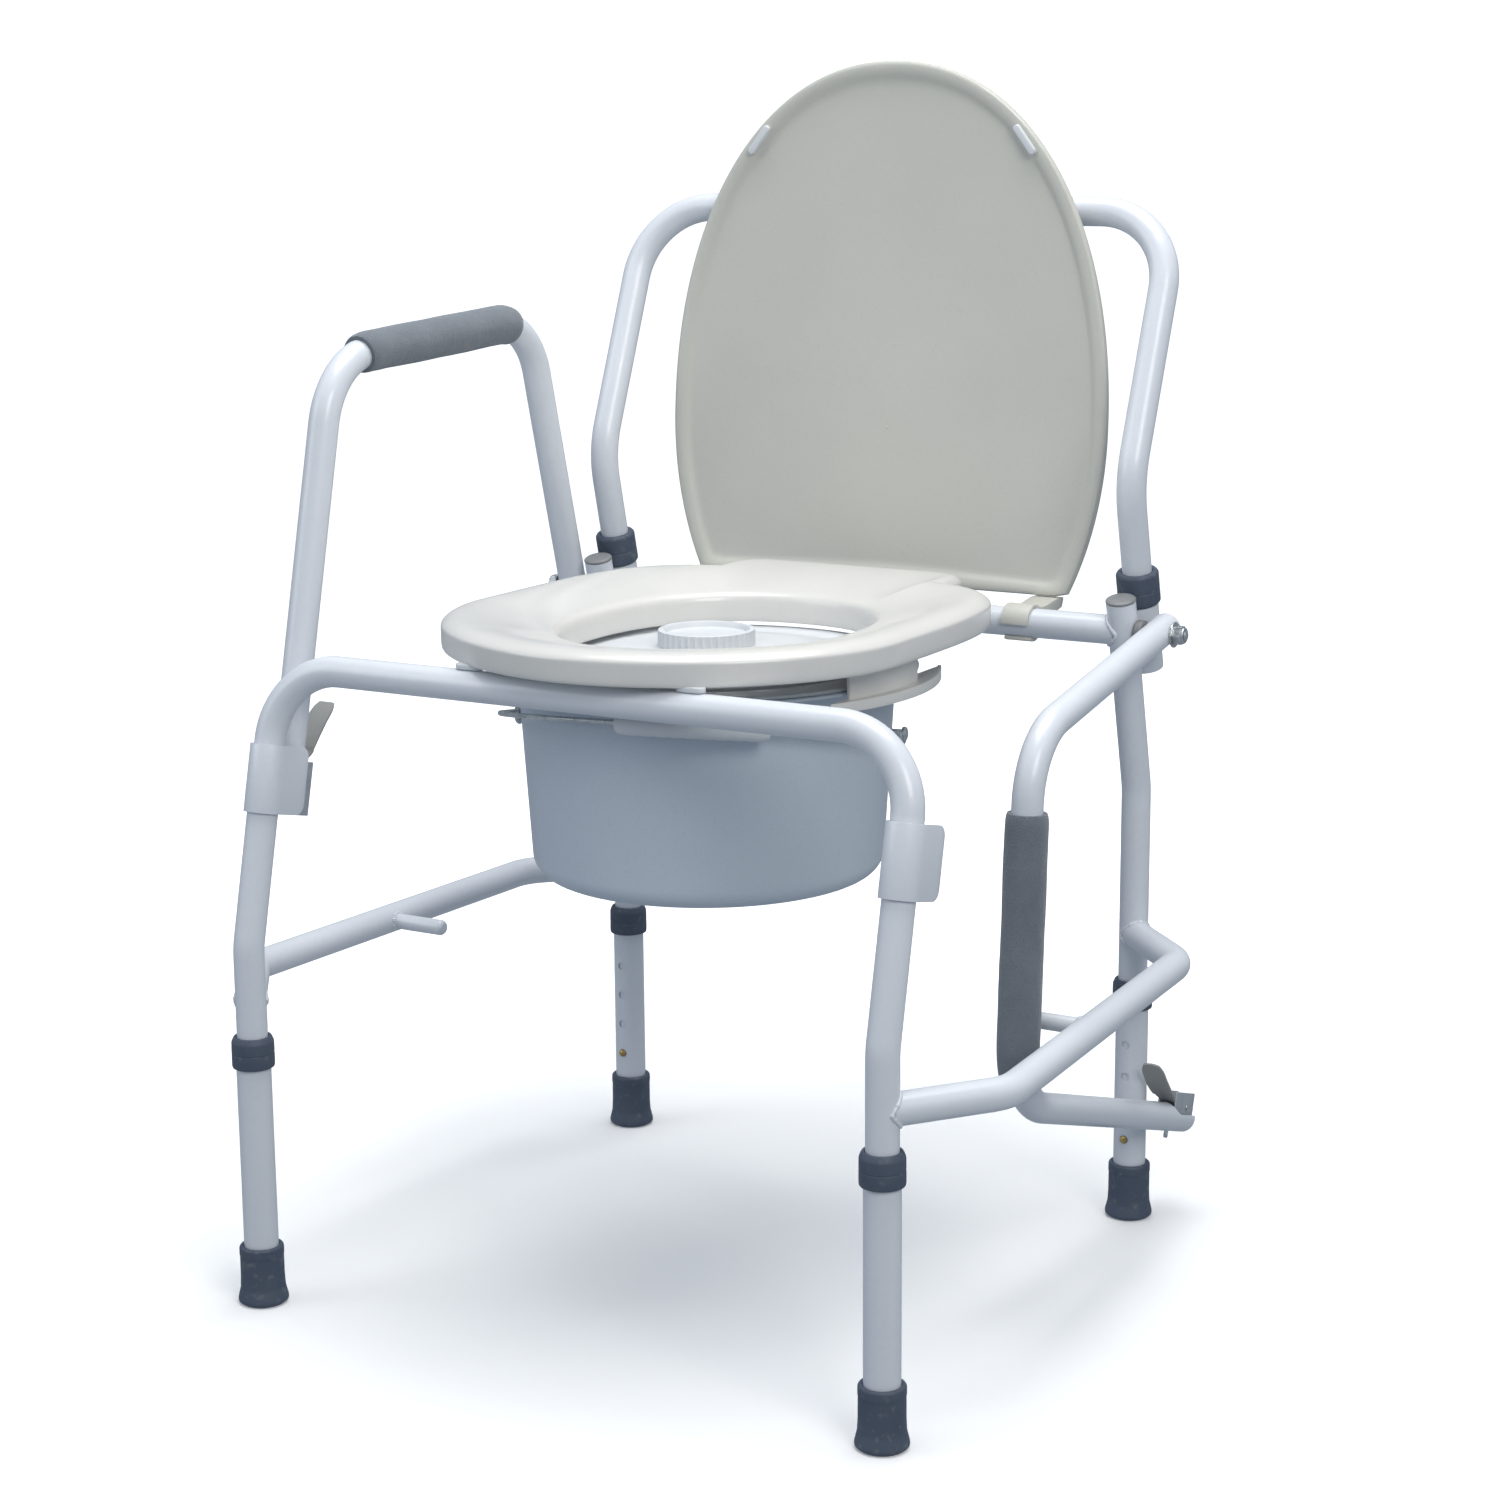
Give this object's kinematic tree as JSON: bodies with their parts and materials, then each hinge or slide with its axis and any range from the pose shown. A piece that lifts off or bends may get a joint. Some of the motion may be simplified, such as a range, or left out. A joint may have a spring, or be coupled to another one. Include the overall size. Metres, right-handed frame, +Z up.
{
  "type": "drop-arm commode chair",
  "caption": "Bedside commode chair: tubular steel frame, height-adjustable legs, padded armrests that drop, hinged seat and lid, and a lidded pail.",
  "frame": {"origin": "on the floor, under the middle of the overall width and depth", "axes": "+Z up, -Y towards the front, +X towards the side whose armrest is dropped"},
  "size_m": [0.637, 0.5468, 0.8826],
  "materials": {
    "powder_coat": "gloss white powder coat",
    "seat_plastic": "smooth moulded, satin gloss",
    "lid_plastic": "fine moulded grain",
    "pail_plastic": "translucent moulded, satin",
    "pail_lid_plastic": "moulded, satin",
    "foam": "closed-cell foam, fine skin",
    "rubber": "moulded, matte",
    "cap_plastic": "moulded",
    "zinc": "bright zinc plate",
    "latch_sheet": "zinc-plated sheet",
    "latch_paddle": "moulded",
    "brass": "plated"
  },
  "bodies": {
    "frame": {"front_frame": "powder_coat", "rear_crossbar": "powder_coat", "backrest_tube": "powder_coat", "rear_leg_left": "powder_coat", "rear_leg_right": "powder_coat", "side_rail_left": "powder_coat", "side_rail_right": "powder_coat", "stop_peg_left": "powder_coat", "stop_peg_right": "powder_coat", "catch_bracket_left": "powder_coat", "catch_bracket_right": "powder_coat", "post_cap_left": "cap_plastic", "post_cap_right": "cap_plastic", "backrest_sleeve_left": "powder_coat", "backrest_sleeve_right": "powder_coat", "backrest_collar_left": "rubber", "backrest_collar_right": "rubber", "pivot_bolt_left": "zinc", "pivot_bolt_right": "zinc", "pivot_nut_left": "zinc", "pivot_nut_right": "zinc"},
    "left_arm": {"arm_tube_left": "powder_coat", "arm_pad_left": "foam", "latch_body_left": "latch_sheet"},
    "left_latch_lever": {"latch_lever_left": "latch_paddle"},
    "left_latch_pin": {"latch_pin_left": "zinc"},
    "right_arm": {"arm_tube_right": "powder_coat", "arm_pad_right": "foam", "latch_body_right": "latch_sheet"},
    "right_latch_lever": {"latch_lever_right": "latch_paddle"},
    "right_latch_pin": {"latch_pin_right": "zinc"},
    "seat": {"seat": "seat_plastic", "seat_clip_left": "seat_plastic", "seat_clip_right": "seat_plastic", "pail_rail_left": "seat_plastic", "pail_rail_right": "seat_plastic"},
    "lid": {"lid": "lid_plastic", "lid_clip_left": "lid_plastic", "lid_clip_right": "lid_plastic"},
    "pail": {"pail": "pail_plastic"},
    "pail_lid": {"pail_lid": "pail_lid_plastic"},
    "pail_handle": {"pail_handle": "zinc", "handle_grip": "pail_lid_plastic"},
    "leg_front_left": {"leg_extension_front_left": "powder_coat", "leg_collar_front_left": "rubber", "foot_tip_front_left": "rubber"},
    "button_front_left": {"snap_button_front_left": "brass"},
    "leg_front_right": {"leg_extension_front_right": "powder_coat", "leg_collar_front_right": "rubber", "foot_tip_front_right": "rubber"},
    "button_front_right": {"snap_button_front_right": "brass"},
    "leg_rear_left": {"leg_extension_rear_left": "powder_coat", "leg_collar_rear_left": "rubber", "foot_tip_rear_left": "rubber"},
    "button_rear_left": {"snap_button_rear_left": "brass"},
    "leg_rear_right": {"leg_extension_rear_right": "powder_coat", "leg_collar_rear_right": "rubber", "foot_tip_rear_right": "rubber"},
    "button_rear_right": {"snap_button_rear_right": "brass"}
  },
  "joints": [
    {"name": "left_arm_drop", "type": "hinge", "parent": "frame", "child": "left_arm", "pos_m": [-0.2575, 0.17855, 0.4675], "axis": [1, 0, 0], "range_deg": [0, 85]},
    {"name": "left_latch_lever_press", "type": "hinge", "parent": "left_arm", "child": "left_latch_lever", "pos_m": [-0.254, -0.2, 0.36711], "axis": [-1, 0, 0], "range_deg": [0, 16], "stiffness_Nm_per_rad": 0.4, "springref_deg": -11.46},
    {"name": "left_latch_pin_retract", "type": "slide", "parent": "left_arm", "child": "left_latch_pin", "axis": [0, 0.9736, -0.2284], "range_m": [0, 0.0051]},
    {"name": "right_arm_drop", "type": "hinge", "parent": "frame", "child": "right_arm", "pos_m": [0.2575, 0.17855, 0.4675], "axis": [1, 0, 0], "range_deg": [-85, 0]},
    {"name": "right_latch_lever_press", "type": "hinge", "parent": "right_arm", "child": "right_latch_lever", "pos_m": [0.254, 0.24556, 0.08164], "axis": [-1, 0, 0], "range_deg": [0, 16], "stiffness_Nm_per_rad": 0.4, "springref_deg": -11.46},
    {"name": "right_latch_pin_retract", "type": "slide", "parent": "right_arm", "child": "right_latch_pin", "axis": [0, 0.3123, 0.95], "range_m": [0, 0.0051]},
    {"name": "seat_lift", "type": "hinge", "parent": "frame", "child": "seat", "pos_m": [0, 0.17846, 0.4675], "axis": [-1, 0, 0], "range_deg": [0, 80]},
    {"name": "lid_close", "type": "hinge", "parent": "frame", "child": "lid", "pos_m": [0, 0.17846, 0.4675], "axis": [1, 0, 0], "range_deg": [0, 94]},
    {"name": "pail_slide", "type": "slide", "parent": "seat", "child": "pail", "axis": [0, -1, 0], "range_m": [-0.05, 0]},
    {"name": "pail_lid_lift", "type": "slide", "parent": "pail", "child": "pail_lid", "axis": [0, 0, -1], "range_m": [-0.003, 0]},
    {"name": "pail_handle_swing", "type": "hinge", "parent": "pail", "child": "pail_handle", "pos_m": [0, -0.04054, 0.4155], "axis": [0.9763, 0.2164, 0], "range_deg": [-1, 23]},
    {"name": "front_left_leg_extend", "type": "slide", "parent": "frame", "child": "leg_front_left", "axis": [0, 0, -1], "range_m": [0, 0.0762]},
    {"name": "front_left_button_press", "type": "slide", "parent": "leg_front_left", "child": "button_front_left", "axis": [0, -1, 0], "range_m": [0, 0.0025], "stiffness_N_per_m": 800, "springref_m": -0.0015},
    {"name": "front_right_leg_extend", "type": "slide", "parent": "frame", "child": "leg_front_right", "axis": [0, 0, -1], "range_m": [0, 0.0762]},
    {"name": "front_right_button_press", "type": "slide", "parent": "leg_front_right", "child": "button_front_right", "axis": [0, -1, 0], "range_m": [0, 0.0025], "stiffness_N_per_m": 800, "springref_m": -0.0015},
    {"name": "rear_left_leg_extend", "type": "slide", "parent": "frame", "child": "leg_rear_left", "axis": [0, 0, -1], "range_m": [0, 0.0762]},
    {"name": "rear_left_button_press", "type": "slide", "parent": "leg_rear_left", "child": "button_rear_left", "axis": [0, 1, 0], "range_m": [0, 0.0025], "stiffness_N_per_m": 800, "springref_m": -0.0015},
    {"name": "rear_right_leg_extend", "type": "slide", "parent": "frame", "child": "leg_rear_right", "axis": [0, 0, -1], "range_m": [0, 0.0762]},
    {"name": "rear_right_button_press", "type": "slide", "parent": "leg_rear_right", "child": "button_rear_right", "axis": [0, 1, 0], "range_m": [0, 0.0025], "stiffness_N_per_m": 800, "springref_m": -0.0015}
  ],
  "couplings": [
    {"joint": "left_latch_pin_retract", "follows": "left_latch_lever_press", "m_per_rad": 0.018},
    {"joint": "right_latch_pin_retract", "follows": "right_latch_lever_press", "m_per_rad": 0.018}
  ]
}
